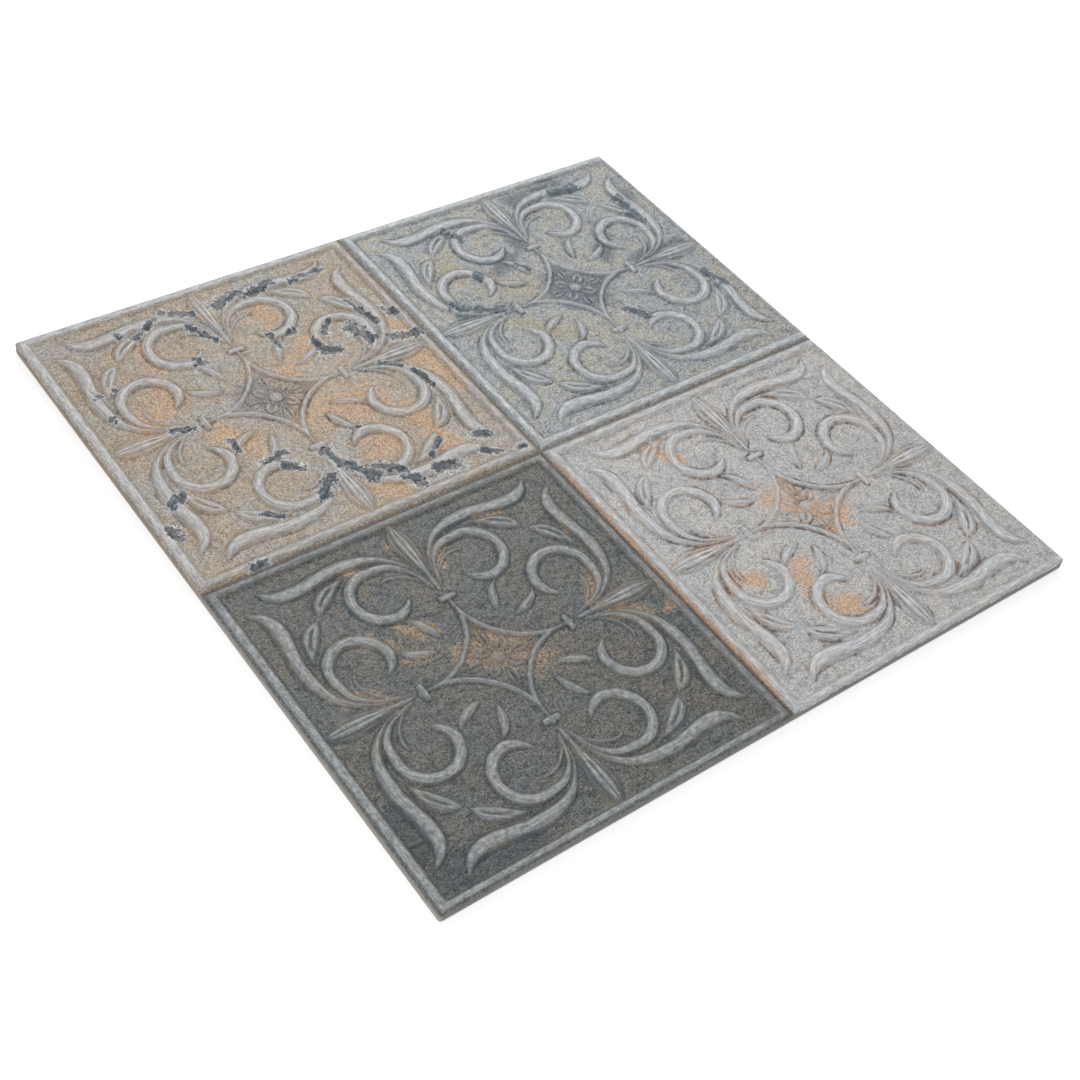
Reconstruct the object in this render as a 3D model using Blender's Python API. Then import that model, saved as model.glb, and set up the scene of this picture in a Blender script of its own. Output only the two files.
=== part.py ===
"""Glazed porcelain wall tile, pressed and fired as one piece.

A scored cross divides the square face into four panels. Each panel has a raised
rim, a slightly sunken field, and the same scrollwork: a rosette inside a
four-pointed star of arcs, a bud leaf on each axis, and a pair of scrolls, leaves
and crescents beside each bud.

Metres, +Z up. The flat back lies on z = 0, and the origin is at its centre.
Sizes of the ornament are in millimetres from a panel's centre.
"""

import math

import bmesh
import bpy
from mathutils import Matrix, Vector

MM = 0.001

# Section of the tile
TILE_SIDE = 333.0 * MM
PANEL_SIDE = TILE_SIDE / 2
BARE_SIDE_HEIGHT = 4.6 * MM
FIELD_HEIGHT = 5.55 * MM
RIM_HEIGHT = 7.0 * MM
CORNER_RADIUS = 1.5 * MM
SHOULDER_WIDTH = 2.4 * MM
SHOULDER_STEPS = 3
CORNER_RADIUS_LEAST = 0.6 * MM
CORNER_STEPS = 2
RIM_CREST_INSET = 3.8 * MM
RIM_FOOT_INSET = 7.0 * MM

# Scored cross between the panels
SCORE_HALF_WIDTH_TOP = 3.0 * MM
SCORE_HALF_WIDTH_FLOOR = 0.5 * MM
SCORE_FLOOR_HEIGHT = 5.0 * MM

# The pressed pattern is a little larger than the trimmed tile, and lies to one side of its centre
PATTERN_CENTRE = (1.4 * MM, -0.7 * MM)
PATTERN_SCALE = (1.013, 1.008)

# The ornament's share of the size that its points are given in
ORNAMENT_SCALE = 0.979

# Room that a tool needs past the surface that it cuts
PAST = 4.0 * MM

# How far a ridge's widest line lies under the field, so that its sides run into it
RIDGE_SINK = 0.2 * MM

# Ornament: rises above the field
LEAF_RISE = 1.35 * MM
SCROLL_RISE = 1.35 * MM
BUD_RISE = 1.4 * MM
TENDRIL_RISE = 0.6 * MM
ARC_RISE = 0.8 * MM
CRESCENT_RISE = 0.9 * MM
SMALL_LEAF_RISE = 1.1 * MM
PETAL_RISE = 0.9 * MM
CLASP_RISE = 1.2 * MM
BOSS_RISE = 1.2 * MM

# Ornament: ridges as (x, y, half width), in millimetres from the panel's centre
BUD_LEAF = [
    (0.0, 40.5, 0.8),
    (0.0, 54.5, 2.9),
    (0.0, 67.0, 5.2),
    (0.0, 74.5, 3.8),
    (0.0, 80.6, 0.5),
]
OUTER_LEAF = [
    (1.8, 42.4, 0.7),
    (4.2, 54.6, 1.1),
    (11.4, 64.2, 1.8),
    (26.6, 70.1, 3.6),
    (40.0, 69.6, 3.8),
    (52.5, 68.0, 4.1),
    (60.5, 69.4, 3.0),
    (66.3, 74.9, 0.5),
]
SCROLL_STEM = [(2.4, 42.6, 0.7), (4.6, 50.4, 1.0), (8.8, 57.3, 1.7)]
SCROLL_CENTRE = (22.6, 49.4)
SCROLL_RADIUS = 12.9
SCROLL_START_DEG = 112.0
SCROLL_END_DEG = -84.0
SCROLL_HALF_WIDTH = 3.1
SCROLL_KNOTS = 6
SCROLL_HOOK = [(18.2, 38.0, 2.3), (13.9, 42.5, 0.5)]
TENDRIL = [(3.4, 45.0, 0.6), (8.6, 52.3, 1.0), (14.2, 55.1, 1.0), (20.0, 54.6, 0.4)]
SMALL_LEAF = [(31.0, 65.0, 0.5), (38.4, 62.3, 2.3), (44.4, 58.9, 3.6), (50.2, 52.4, 0.5)]
CRESCENT = [(22.2, 33.2, 0.6), (17.0, 27.6, 2.3), (14.5, 19.2, 0.4)]
ARC_CENTRE = 32.8
ARC_RADIUS = 33.3
ARC_SWEEP_DEG = (175.0, 275.0)
ARC_HALF_WIDTH = 1.3
ARC_KNOTS = 5
AXIS_PETAL = [(0.0, 7.3, 0.9), (0.0, 11.8, 2.2), (0.0, 14.6, 0.5)]
DIAGONAL_PETAL = [(2.6, 2.6, 0.9), (5.2, 5.2, 2.3), (7.1, 7.1, 0.6)]
CLASP_DISTANCE = 35.4
CLASP_LENGTH = 6.6
CLASP_WIDTH = 2.8
CLASP_CHAMFER = 0.5
BOSS_RADIUS = 3.3
BOSS_TOP_RADIUS = 2.0
BOSS_SIDES = 12

GLAZE_COLOUR = (0.55, 0.54, 0.51, 1.0)
GLAZE_ROUGHNESS = 0.35


def clear_scene():
    """Removes every object of the open scene."""
    for old in list(bpy.data.objects):
        bpy.data.objects.remove(old, do_unlink=True)


def new_collection(name):
    """A collection of that name in the scene."""
    collection = bpy.data.collections.new(name)
    bpy.context.scene.collection.children.link(collection)
    return collection


def new_object(name, shape, collection):
    """An object that holds a finished bmesh."""
    mesh = bpy.data.meshes.new(name)
    shape.to_mesh(mesh)
    shape.free()
    placed = bpy.data.objects.new(name, mesh)
    collection.objects.link(placed)
    return placed


def as_tool(placed):
    """Marks an object that only cuts or adds to another one."""
    placed.hide_render = True
    placed.display_type = "WIRE"
    return placed


def glaze():
    """The fired glaze, in the tile's mean colour."""
    material = bpy.data.materials.new("glazed_porcelain")
    material.use_nodes = True
    shader = material.node_tree.nodes["Principled BSDF"]
    shader.inputs["Base Color"].default_value = GLAZE_COLOUR
    shader.inputs["Roughness"].default_value = GLAZE_ROUGHNESS
    shader.inputs["Metallic"].default_value = 0.0
    return material


def box(low, high):
    """A bmesh box between two corners."""
    shape = bmesh.new()
    size = Vector(high) - Vector(low)
    place = Matrix.Translation((Vector(low) + Vector(high)) / 2) @ Matrix.Diagonal((*size, 1.0))
    bmesh.ops.create_cube(shape, size=1.0, matrix=place)
    return shape


def panel_places():
    """Each panel's place: moved to its centre, and scaled as the pressed pattern is."""
    scale = Matrix.Diagonal((*PATTERN_SCALE, 1, 1))
    shift = Matrix.Translation((*PATTERN_CENTRE, 0))
    half = PANEL_SIDE / 2
    centres = [(-half, -half, 0), (half, -half, 0), (half, half, 0), (-half, half, 0)]
    return [shift @ scale @ Matrix.Translation(centre) for centre in centres]


def tapered_post(half_low, half_high, low, high):
    """A square post about the Z axis whose half width differs at its two ends."""
    shape = bmesh.new()
    place = Matrix.Translation((0, 0, (low + high) / 2)) @ Matrix.Rotation(math.radians(45), 4, "Z")
    bmesh.ops.create_cone(
        shape,
        cap_ends=True,
        segments=4,
        radius1=half_low * math.sqrt(2),
        radius2=half_high * math.sqrt(2),
        depth=high - low,
        matrix=place,
    )
    return shape


def rounded_square(half, radius):
    """The outline of a square with round corners, as (x, y) points in order."""
    outline = []
    for quarter in range(4):
        for step in range(CORNER_STEPS + 1):
            angle = math.pi / 2 * (quarter + step / CORNER_STEPS)
            sign_x = math.copysign(1, math.cos(math.pi / 4 + quarter * math.pi / 2))
            sign_y = math.copysign(1, math.sin(math.pi / 4 + quarter * math.pi / 2))
            x = sign_x * (half - radius) + radius * math.cos(angle)
            y = sign_y * (half - radius) + radius * math.sin(angle)
            outline.append((x, y))
    return outline


def section_levels():
    """The edge's section from the back up to the rim's crest, as (inset, height)."""
    levels = [(0.0, BARE_SIDE_HEIGHT)]
    for step in range(1, SHOULDER_STEPS + 1):
        angle = math.pi / 2 * step / SHOULDER_STEPS
        inset = SHOULDER_WIDTH * (1 - math.cos(angle))
        height = BARE_SIDE_HEIGHT + (RIM_HEIGHT - BARE_SIDE_HEIGHT) * math.sin(angle)
        levels.append((inset, height))
    return levels


def slab(collection):
    """The tile's plain block: its back face raised level by level, up its bare side and over its shoulder."""
    half = TILE_SIDE / 2
    shape = bmesh.new()
    back = shape.faces.new([shape.verts.new((x, y, 0)) for x, y in rounded_square(half, CORNER_RADIUS)])
    face = back
    for inset, height in section_levels():
        raised = bmesh.ops.extrude_face_region(shape, geom=[face])["geom"]
        if face is not back:
            bmesh.ops.delete(shape, geom=[face], context="FACES_ONLY")
        face = next(item for item in raised if isinstance(item, bmesh.types.BMFace))
        outline = rounded_square(half - inset, max(CORNER_RADIUS - inset, CORNER_RADIUS_LEAST))
        for vertex, (x, y) in zip(face.verts, outline):
            vertex.co = (x, y, height)
    bmesh.ops.recalc_face_normals(shape, faces=shape.faces)
    return new_object("tile", shape, collection)


def field_cutter(number, place, collection):
    """The hollow inside one panel's rim, with its sloping walls."""
    half = PANEL_SIDE / 2
    slope = (RIM_FOOT_INSET - RIM_CREST_INSET) / (RIM_HEIGHT - FIELD_HEIGHT)
    half_high = half - RIM_CREST_INSET + slope * PAST
    shape = tapered_post(half - RIM_FOOT_INSET, half_high, FIELD_HEIGHT, RIM_HEIGHT + PAST)
    bmesh.ops.transform(shape, matrix=place, verts=shape.verts)
    return as_tool(new_object(f"field_{number}", shape, collection))


def score_cutter(collection):
    """The scored cross: two troughs that meet at the tile's centre."""
    slope = (SCORE_HALF_WIDTH_TOP - SCORE_HALF_WIDTH_FLOOR) / (RIM_HEIGHT - SCORE_FLOOR_HEIGHT)
    half_high = SCORE_HALF_WIDTH_TOP + slope * PAST
    shape = tapered_post(SCORE_HALF_WIDTH_FLOOR, half_high, SCORE_FLOOR_HEIGHT, RIM_HEIGHT + PAST)
    walls = [face for face in shape.faces if abs(face.normal.z) < 0.9]
    arms = bmesh.ops.extrude_discrete_faces(shape, faces=walls)["faces"]
    for face in arms:
        axis = 0 if abs(face.normal.x) > abs(face.normal.y) else 1
        for vertex in face.verts:
            vertex.co[axis] = math.copysign(PANEL_SIDE + PAST, vertex.co[axis])
    bmesh.ops.translate(shape, verts=shape.verts, vec=(*PATTERN_CENTRE, 0))
    return as_tool(new_object("score", shape, collection))


def ridge(points, rise, steps):
    """A low tapering ridge along a smooth line of (x, y, half width), as a closed bmesh about z = 0."""
    curve = bpy.data.curves.new("ridge", "CURVE")
    curve.dimensions = "3D"
    curve.twist_mode = "Z_UP"
    curve.bevel_depth = MM
    curve.bevel_resolution = 0
    curve.use_fill_caps = True
    curve.resolution_u = steps
    spline = curve.splines.new("BEZIER")
    spline.bezier_points.add(len(points) - 1)
    for knot, (x, y, half_width) in zip(spline.bezier_points, points):
        knot.co = (x * MM, y * MM, 0)
        knot.radius = half_width
        knot.handle_left_type = "AUTO"
        knot.handle_right_type = "AUTO"
    line = bpy.data.objects.new("ridge", curve)
    bpy.context.scene.collection.objects.link(line)
    seen = line.evaluated_get(bpy.context.evaluated_depsgraph_get())
    mesh = bpy.data.meshes.new_from_object(seen)
    shape = bmesh.new()
    shape.from_mesh(mesh)
    bmesh.ops.remove_doubles(shape, verts=shape.verts, dist=MM / 100)
    widest = max(half_width for x, y, half_width in points) * MM
    bmesh.ops.scale(shape, verts=shape.verts, vec=(1, 1, (rise + RIDGE_SINK) / widest))
    bpy.data.objects.remove(line)
    bpy.data.curves.remove(curve)
    bpy.data.meshes.remove(mesh)
    return shape


def turns(count):
    """That many rotations about the panel's centre."""
    return [Matrix.Rotation(2 * math.pi * k / count, 4, "Z") for k in range(count)]


def turns_and_mirrors():
    """The eight ways in which the square ornament maps onto itself."""
    mirror = Matrix.Diagonal((-1, 1, 1, 1))
    return turns(4) + [turn @ mirror for turn in turns(4)]


def place_copies(name, shape, images, collection):
    """One object for each image of a motif in each panel, set at the field's height."""
    mesh = bpy.data.meshes.new(name)
    shape.to_mesh(mesh)
    shape.free()
    seat = Matrix.Translation((0, 0, FIELD_HEIGHT - RIDGE_SINK))
    seat @= Matrix.Diagonal((ORNAMENT_SCALE, ORNAMENT_SCALE, 1, 1))
    for panel, place in enumerate(panel_places()):
        for number, image in enumerate(images):
            copy = bmesh.new()
            copy.from_mesh(mesh)
            bmesh.ops.transform(copy, matrix=place @ seat @ image, verts=copy.verts)
            bmesh.ops.recalc_face_normals(copy, faces=copy.faces)
            as_tool(new_object(f"{name}_{panel}_{number}", copy, collection))
    bpy.data.meshes.remove(mesh)


def arc_points(centre, radius, start_deg, end_deg, knots, half_widths):
    """Points on a round stretch, with a half width for each knot."""
    points = []
    for k in range(knots):
        angle = math.radians(start_deg + (end_deg - start_deg) * k / (knots - 1))
        x = centre[0] + radius * math.cos(angle)
        y = centre[1] + radius * math.sin(angle)
        points.append((x, y, half_widths[k]))
    return points


def scroll_points():
    """The stem from the clasp, the round of the scroll and its hooked end."""
    half_widths = [SCROLL_HALF_WIDTH] * SCROLL_KNOTS
    round_part = arc_points(
        SCROLL_CENTRE, SCROLL_RADIUS, SCROLL_START_DEG, SCROLL_END_DEG, SCROLL_KNOTS, half_widths
    )
    return SCROLL_STEM + round_part + SCROLL_HOOK


def star_arc_points():
    """One side of the four-pointed star, from clasp to clasp."""
    half_widths = [ARC_HALF_WIDTH] * ARC_KNOTS
    return arc_points((ARC_CENTRE, ARC_CENTRE), ARC_RADIUS, *ARC_SWEEP_DEG, ARC_KNOTS, half_widths)


def clasp():
    """The bar that ties the stems on each axis."""
    shape = box(
        (-CLASP_LENGTH / 2 * MM, (CLASP_DISTANCE - CLASP_WIDTH / 2) * MM, -CLASP_RISE),
        (CLASP_LENGTH / 2 * MM, (CLASP_DISTANCE + CLASP_WIDTH / 2) * MM, CLASP_RISE),
    )
    top = [edge for edge in shape.edges if all(v.co.z > 0 for v in edge.verts)]
    bmesh.ops.bevel(shape, geom=top, offset=CLASP_CHAMFER * MM, segments=1, profile=0.5, affect="EDGES")
    return shape


def boss():
    """The round button at the rosette's centre."""
    shape = bmesh.new()
    bmesh.ops.create_cone(
        shape,
        cap_ends=True,
        segments=BOSS_SIDES,
        radius1=BOSS_RADIUS * MM,
        radius2=BOSS_TOP_RADIUS * MM,
        depth=2 * BOSS_RISE,
    )
    return shape


def ornament(collection):
    """All of one panel's relief, as overlapping closed shapes to be joined to its field."""
    place_copies("bud_leaf", ridge(BUD_LEAF, BUD_RISE, 2), turns(4), collection)
    place_copies("outer_leaf", ridge(OUTER_LEAF, LEAF_RISE, 1), turns_and_mirrors(), collection)
    place_copies("scroll", ridge(scroll_points(), SCROLL_RISE, 2), turns_and_mirrors(), collection)
    place_copies("tendril", ridge(TENDRIL, TENDRIL_RISE, 1), turns_and_mirrors(), collection)
    place_copies("small_leaf", ridge(SMALL_LEAF, SMALL_LEAF_RISE, 1), turns_and_mirrors(), collection)
    place_copies("crescent", ridge(CRESCENT, CRESCENT_RISE, 1), turns_and_mirrors(), collection)
    place_copies("star_arc", ridge(star_arc_points(), ARC_RISE, 2), turns(4), collection)
    place_copies("axis_petal", ridge(AXIS_PETAL, PETAL_RISE, 1), turns(4), collection)
    place_copies("diagonal_petal", ridge(DIAGONAL_PETAL, PETAL_RISE, 1), turns(4), collection)
    place_copies("clasp", clasp(), turns(4), collection)
    place_copies("boss", boss(), turns(1), collection)


def cut(placed, cutter):
    """Takes one tool away from a solid."""
    modifier = placed.modifiers.new(cutter.name, "BOOLEAN")
    modifier.operation = "DIFFERENCE"
    modifier.solver = "EXACT"
    modifier.object = cutter


def build_tile():
    """The slab with its four fields sunk, the ornament joined to them and the cross scored."""
    parts = new_collection("porcelain_wall_tile")
    cutters = new_collection("cutters")
    relief = new_collection("relief")
    tile = slab(parts)
    for number, place in enumerate(panel_places()):
        cut(tile, field_cutter(number, place, cutters))
    ornament(relief)
    union = tile.modifiers.new("ornament", "BOOLEAN")
    union.operation = "UNION"
    union.solver = "EXACT"
    union.operand_type = "COLLECTION"
    union.collection = relief
    union.use_self = True
    cut(tile, score_cutter(cutters))
    tile.data.materials.append(glaze())
    return tile


if __name__ == "__main__":
    clear_scene()
    build_tile()
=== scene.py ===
"""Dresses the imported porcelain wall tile.

The tile is one fired piece. A scored cross parts its face into four panels, and
each panel carries the same pressed scrollwork under a glaze of its own tone. The
four glazed faces and the bare body under them are built here as five closed
meshes that stand for the CAD solid.

Metres, +Z up, with the origin at the middle of the back. Sizes of the relief are
in millimetres from a panel's centre, and it is drawn once for one eighth of the
panel, because the ornament repeats on both axes and on the diagonals.
"""

import logging
import math
from dataclasses import dataclass, field
from enum import Enum

import bpy
import numpy as np
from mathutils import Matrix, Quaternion, Vector


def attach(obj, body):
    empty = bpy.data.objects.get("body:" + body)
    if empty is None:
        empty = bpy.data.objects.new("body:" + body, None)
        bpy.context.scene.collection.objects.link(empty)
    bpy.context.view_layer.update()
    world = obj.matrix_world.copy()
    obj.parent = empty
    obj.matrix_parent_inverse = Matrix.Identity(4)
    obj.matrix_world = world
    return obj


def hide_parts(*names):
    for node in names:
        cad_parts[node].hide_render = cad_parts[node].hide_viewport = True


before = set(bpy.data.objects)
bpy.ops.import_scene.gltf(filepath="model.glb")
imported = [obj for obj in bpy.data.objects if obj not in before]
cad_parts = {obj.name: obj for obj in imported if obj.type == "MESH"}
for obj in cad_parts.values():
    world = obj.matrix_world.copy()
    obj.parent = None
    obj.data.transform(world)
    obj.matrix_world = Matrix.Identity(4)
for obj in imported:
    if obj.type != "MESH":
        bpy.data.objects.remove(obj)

LOG = logging.getLogger("porcelain_wall_tile")
MM = 0.001
BODY = "root"
NODE = "tile"
Tree = bpy.types.NodeTree
Socket = bpy.types.NodeSocket
COLOUR = {"data_type": "RGBA"}
EASED = {"interpolation_type": "SMOOTHSTEP"}


def linear(code: str, alpha: float = 1.0) -> tuple[float, float, float, float]:
    """Turns an sRGB hex colour into the linear colour that a shader takes.

    Args:
        code: The colour as "#rrggbb".
        alpha: The fourth channel.

    Returns:
        Linear red, green and blue, and alpha.
    """
    values = []
    for start in (1, 3, 5):
        value = int(code[start:start + 2], 16) / 255
        values.append(value / 12.92 if value <= 0.04045 else ((value + 0.055) / 1.055) ** 2.4)
    return (*values, alpha)


def add(tree: Tree, kind: str, settings: dict, inputs: dict) -> bpy.types.Node:
    """Adds one node with its settings and links.

    Args:
        tree: The node tree that gets the node.
        kind: The node's type name.
        settings: Values for the node's own properties.
        inputs: For each input's name or number, a socket to link or a value to set.

    Returns:
        The new node.
    """
    node = tree.nodes.new(kind)
    count = len(tree.nodes)
    node.location = (200 * (count % 12) - 2400, -260 * (count // 12))
    for name, value in settings.items():
        setattr(node, name, value)
    for place, value in inputs.items():
        if isinstance(value, Socket):
            tree.links.new(value, node.inputs[place])
        else:
            node.inputs[place].default_value = value
    return node


def soft_noise(x: np.ndarray, y: np.ndarray, size: float, seed: int) -> np.ndarray:
    """Smooth noise from a seeded lattice.

    Args:
        x: Places across, in millimetres.
        y: Places up, in millimetres.
        size: The lattice's spacing, in millimetres.
        seed: Chooses the pattern.

    Returns:
        Values from -1 to 1.
    """
    side = 256
    lattice = np.random.default_rng(seed).uniform(-1.0, 1.0, (side, side))
    across = x / size + side
    up = y / size + side
    column = np.floor(across).astype(int)
    row = np.floor(up).astype(int)
    part_x = across - column
    part_y = up - row
    part_x = part_x * part_x * (3 - 2 * part_x)
    part_y = part_y * part_y * (3 - 2 * part_y)
    low = (
        lattice[column % side, row % side] * (1 - part_x)
        + lattice[(column + 1) % side, row % side] * part_x
    )
    high = (
        lattice[column % side, (row + 1) % side] * (1 - part_x)
        + lattice[(column + 1) % side, (row + 1) % side] * part_x
    )
    return low * (1 - part_y) + high * part_y


def smooth_step(value: np.ndarray, low: float, high: float) -> np.ndarray:
    """Eases from 0 where the value is low to 1 where it is high."""
    part = np.clip((value - low) / (high - low), 0.0, 1.0)
    return part * part * (3 - 2 * part)


def blurred(grid: np.ndarray, sigma: float) -> np.ndarray:
    """Softens a square grid with a bell curve.

    Args:
        grid: Values on the grid.
        sigma: The bell curve's width, in cells.

    Returns:
        The softened grid.
    """
    reach = int(math.ceil(3 * sigma))
    weights = np.exp(-0.5 * (np.arange(-reach, reach + 1) / sigma) ** 2)
    weights /= weights.sum()
    out = grid
    for axis in (0, 1):
        padded = np.pad(out, [(reach, reach) if a == axis else (0, 0) for a in (0, 1)], mode="edge")
        total = np.zeros_like(grid)
        for step, weight in enumerate(weights):
            window = padded[step:step + len(grid), :] if axis == 0 else padded[:, step:step + len(grid)]
            total += weight * window
        out = total
    return out


class Crease(Enum):
    """How a motif's crown is cut."""

    PLAIN = "plain"
    VEIN = "vein"
    BUD = "bud"


@dataclass(frozen=True)
class Motif:
    """One raised form of the ornament, as a smooth line with a width along it.

    Knots are (x, y, half width) in millimetres. Lean moves the crest sideways, to the
    line's left when positive, as a share of the half width.
    """

    name: str
    knots: tuple[tuple[float, float, float], ...]
    rise: float
    lean: float = 0.0
    crease: Crease = Crease.PLAIN
    fullness: float = 0.8

    def line(self) -> np.ndarray:
        """Draws the smooth line through the knots.

        Returns:
            Points close together along the motif, as x, y and half width.
        """
        steps = 10
        knots = np.array(self.knots)
        if len(knots) == 1:
            return knots
        ends = np.vstack([2 * knots[0] - knots[1], knots, 2 * knots[-1] - knots[-2]])
        part = np.arange(steps)[:, None] / steps
        pieces = []
        for first in range(len(knots) - 1):
            a, b, c, d = ends[first:first + 4]
            pieces.append(
                0.5 * (2 * b + (c - a) * part + (2 * a - 5 * b + 4 * c - d) * part ** 2
                       + (3 * b - a - 3 * c + d) * part ** 3)
            )
        return np.vstack(pieces + [knots[-1:]])

    def shape(
        self, x: np.ndarray, y: np.ndarray
    ) -> tuple[np.ndarray, np.ndarray, np.ndarray, np.ndarray]:
        """Evaluates the motif.

        Args:
            x: Places across, flat array.
            y: Places up, flat array.

        Returns:
            Height above the field, distance outside the outline (negative inside), and
            the distances across and along the motif, all in millimetres.
        """
        line = self.line()
        width = np.maximum(line[:, 2], 0.2)
        off_x = x[:, None] - line[None, :, 0]
        off_y = y[:, None] - line[None, :, 1]
        reach = np.hypot(off_x, off_y)
        nearest = np.argmin(reach / width, axis=1)
        rows = np.arange(len(x))
        gap = np.min(reach - width, axis=1)
        tangent = np.gradient(line[:, :2], axis=0) if len(line) > 1 else np.array([[1.0, 0.0]])
        tangent /= np.maximum(np.linalg.norm(tangent, axis=1), 1e-9)[:, None]
        cross = tangent[nearest, 0] * off_y[rows, nearest] - tangent[nearest, 1] * off_x[rows, nearest]
        ratio = np.minimum(reach[rows, nearest] / width[nearest], 1.0)
        place = np.sign(cross) * ratio
        lean = self.lean * np.minimum(1.0, width[nearest] / width.max())
        slid = np.where(place > lean, (place - lean) / (1 - lean), (lean - place) / (1 + lean))
        crown = np.clip(1 - slid ** 2, 0.0, 1.0) ** self.fullness
        stand = self.rise * (width[nearest] / width.max()) ** 0.4
        height = stand * crown
        steps = np.zeros(1)
        if len(line) > 1:
            steps = np.r_[0.0, np.cumsum(np.hypot(*np.diff(line[:, :2], axis=0).T))]
        if self.crease is Crease.VEIN:
            open_part = smooth_step(width[nearest], 0.45 * width.max(), 0.9 * width.max())
            height -= 0.6 * stand * open_part * np.exp(-((slid * width[nearest]) / 0.7) ** 2)
        if self.crease is Crease.BUD:
            open_part = smooth_step(width[nearest], 0.3 * width.max(), 0.75 * width.max())
            groove = np.exp(-((place * width[nearest]) / 0.4) ** 2)
            channel = np.exp(-((np.abs(place) - 0.58) / 0.17) ** 2)
            height -= stand * open_part * (0.3 * groove + 0.32 * channel)
        return np.maximum(height, 0.0), gap, place * width[nearest], steps[nearest]


def round_stretch(
    centre: tuple[float, float], radius: float, start: float, end: float, widths: tuple[float, ...]
) -> tuple[tuple[float, float, float], ...]:
    """Knots on a circle.

    Args:
        centre: The circle's middle.
        radius: Its radius.
        start: The first knot's angle in degrees.
        end: The last knot's angle in degrees.
        widths: The half width at each knot.

    Returns:
        One (x, y, half width) for each width.
    """
    knots = []
    for number, width in enumerate(widths):
        angle = math.radians(start + (end - start) * number / (len(widths) - 1))
        knots.append((centre[0] + radius * math.cos(angle), centre[1] + radius * math.sin(angle), width))
    return tuple(knots)


MOTIFS = (
    Motif(
        "bud",
        ((0, 40.5, 0.8), (0, 48, 1.7), (0, 54.5, 2.9), (0, 60, 4.3), (0, 65.5, 5.2), (0, 70, 5.1),
         (0, 74, 4.0), (0, 77.5, 2.2), (0, 80.6, 0.5)),
        rise=1.38,
        crease=Crease.BUD,
        fullness=0.55,
    ),
    Motif(
        "outer_leaf",
        ((1.6, 42.4, 0.6), (2.7, 48.0, 0.8), (3.9, 54.0, 1.0), (6.6, 58.9, 1.3), (10.8, 63.8, 1.7),
         (15.4, 67.0, 2.4), (21.2, 69.2, 3.1), (26.6, 70.2, 3.6), (34.0, 70.4, 3.8), (39.3, 69.7, 3.8),
         (45.7, 68.6, 4.0), (51.0, 68.0, 4.1), (56.3, 68.2, 3.9), (60.5, 69.4, 3.0), (63.7, 71.6, 1.8),
         (66.4, 74.9, 0.4)),
        rise=1.4,
        lean=-0.22,
    ),
    Motif(
        "scroll",
        ((2.1, 42.9, 0.6), (4.3, 50.0, 0.9), (6.3, 54.6, 1.2), (9.4, 58.2, 1.6), (13.6, 61.0, 2.2))
        + round_stretch((22.6, 49.4), 12.9, 104, -84, (2.7, 2.9, 3.0, 3.0, 3.0, 3.0, 2.9))
        + ((20.6, 37.2, 2.7), (17.6, 38.6, 2.0), (15.4, 40.6, 1.2), (13.9, 42.6, 0.4)),
        rise=1.4,
        lean=0.15,
    ),
    Motif(
        "tendril",
        ((3.0, 44.0, 0.5), (4.8, 48.2, 0.7), (7.6, 51.4, 0.9), (10.4, 53.6, 1.0), (13.8, 55.0, 1.0),
         (17.2, 55.3, 0.8), (20.0, 54.6, 0.4)),
        rise=0.7,
    ),
    Motif(
        "crescent",
        ((22.2, 33.2, 0.5), (19.6, 31.4, 1.3), (17.6, 28.8, 2.1), (16.0, 25.6, 2.3), (14.9, 22.6, 1.7),
         (14.4, 20.4, 0.9), (14.5, 18.8, 0.3)),
        rise=1.15,
        lean=0.15,
    ),
    Motif(
        "small_leaf",
        ((31.0, 65.0, 0.4), (34.6, 63.9, 1.3), (38.4, 62.3, 2.7), (42.2, 60.3, 3.9), (45.4, 58.0, 4.0),
         (47.8, 55.6, 2.8), (50.2, 52.4, 0.4)),
        rise=1.25,
        crease=Crease.VEIN,
    ),
    Motif(
        "star_arc",
        round_stretch((32.8, 32.8), 33.3, 173, 225, (1.3, 1.4, 1.45, 1.45, 1.45, 1.45, 1.45)),
        rise=1.1,
    ),
    Motif("clasp", ((0.0, 35.4, 1.5), (1.6, 35.4, 1.5), (3.0, 35.4, 1.4)), rise=1.35, fullness=0.5),
    Motif("button", ((0.0, 0.0, 3.2),), rise=0.9, fullness=0.4),
    Motif(
        "heart_edge",
        ((2.0, 3.6, 0.4), (2.6, 5.0, 0.75), (3.8, 6.3, 1.15), (5.3, 7.2, 0.9), (6.9, 7.1, 0.75),
         (8.0, 8.0, 0.4)),
        rise=0.65,
    ),
    Motif("axis_lobe", ((0.5, 7.8, 0.4), (1.1, 9.8, 0.8), (1.3, 11.8, 1.0), (0.9, 13.4, 0.6)), rise=0.65),
    Motif("bead", ((0.0, 6.0, 0.8),), rise=0.55),
    Motif("bar", ((0.0, 14.8, 0.5), (1.5, 14.8, 0.4)), rise=0.45),
    Motif("bract", ((3.1, 12.6, 0.35), (2.0, 15.4, 0.5), (0.9, 17.8, 0.5), (0.0, 19.6, 0.4)), rise=0.5),
)


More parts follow.
